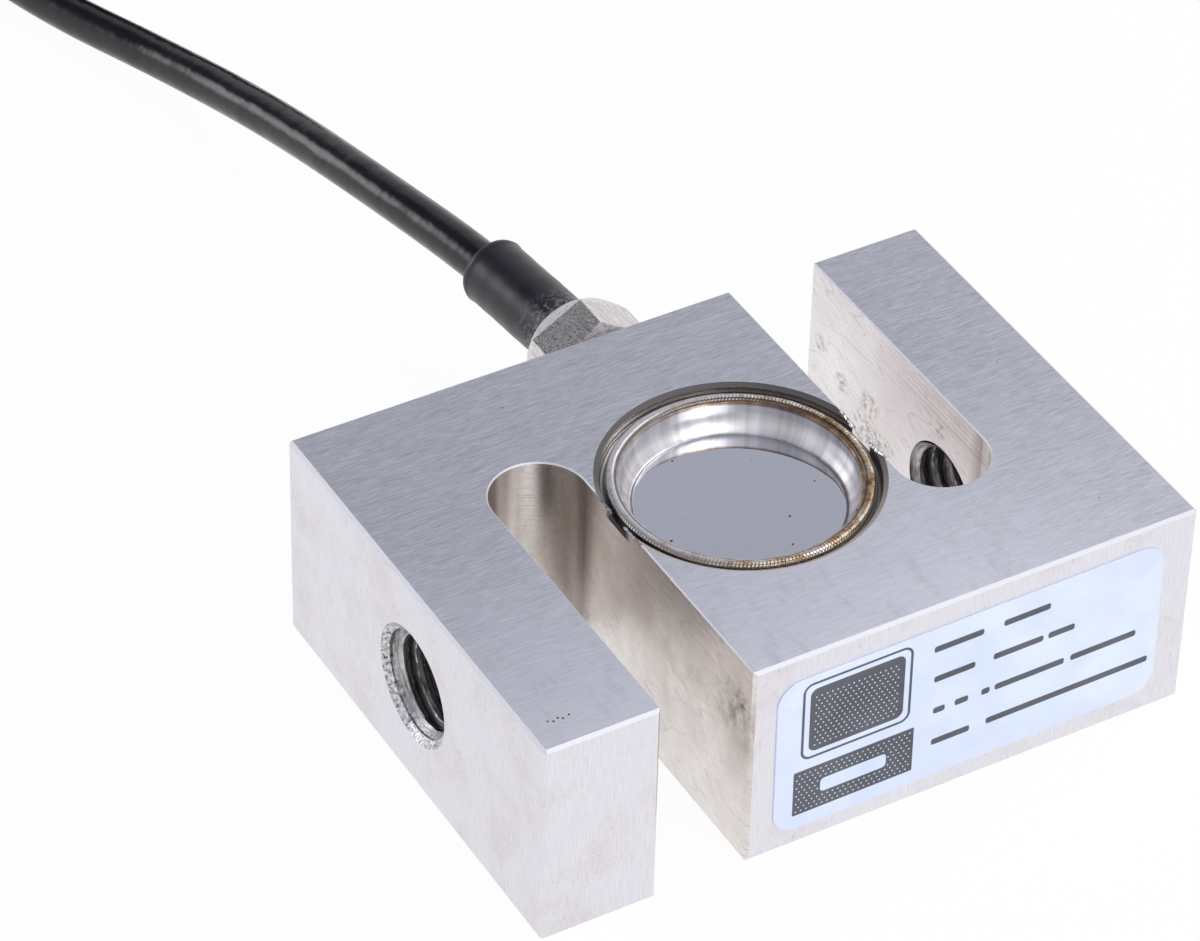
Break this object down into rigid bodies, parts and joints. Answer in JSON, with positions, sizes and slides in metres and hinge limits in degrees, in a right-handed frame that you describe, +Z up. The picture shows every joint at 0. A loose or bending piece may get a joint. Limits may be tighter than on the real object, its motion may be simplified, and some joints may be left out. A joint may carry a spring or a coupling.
{
  "type": "s-type load cell",
  "caption": "S-shaped steel beam load cell with a threaded hole in each end leg, sealed round pockets in its broad faces, a side cable gland, and a black cable coiled behind it.",
  "frame": {"origin": "centre of the steel block's base, where the block lies on its broad face", "axes": "+X along the load axis through both threaded holes, +Y out of the back face towards the cable, +Z up out of the broad face with the welded cup"},
  "size_m": [0.1017, 0.258, 0.0254],
  "materials": {
    "steel": "machined stainless steel, ground faces",
    "cup_steel": "thin pressed stainless sheet, bright floor",
    "weld": "rippled laser weld with heat tint",
    "nickel": "nickel-plated brass, bright",
    "black_rubber": "matte black rubber",
    "sleeve": "matte black shrunk sleeve",
    "jacket": "half-gloss black cable jacket",
    "tie": "black nylon",
    "red": "red core insulation",
    "black": "black core insulation",
    "green": "green core insulation",
    "white": "white core insulation",
    "label": "pale blue film label, bare",
    "board": "green glass-epoxy board",
    "gauge": "amber gauge carrier with foil grids",
    "terminal": "tan terminal strip with tinned pads",
    "copper": "flat copper ribbon",
    "resistor": "black chip resistor with tinned ends",
    "bundle": "fine lacquered wires in a sleeve"
  },
  "bodies": {
    "root": {"spring_element": "steel", "top_seal_cup": "cup_steel", "bottom_seal_cup": "cup_steel", "top_weld_seam": "weld", "bottom_weld_seam": "weld", "upper_shear_gauge": "gauge", "lower_shear_gauge": "gauge", "upper_terminals": "terminal", "lower_terminals": "terminal", "upper_jumper": "copper", "lower_jumper": "copper", "compensation_board": "board", "span_resistor_left": "resistor", "span_resistor_right": "resistor", "zero_trim_resistor": "resistor", "temperature_resistor": "resistor", "upper_wires": "bundle", "lower_wires": "bundle", "inner_core_red": "red", "inner_core_black": "black", "inner_core_green": "green", "inner_core_white": "white", "gland_gasket": "black_rubber", "gland_body": "nickel", "gland_grommet": "black_rubber", "gland_washer": "nickel", "gland_nut": "nickel", "face_label": "label", "cable_sleeve": "sleeve", "cable_run": "jacket", "cable_coil": "jacket", "cable_tail": "jacket", "end_cuff": "sleeve", "coil_tie_1": "tie", "coil_tie_2": "tie", "flying_lead_red": "red", "flying_lead_black": "black", "flying_lead_green": "green", "flying_lead_white": "white"}
  },
  "joints": []
}
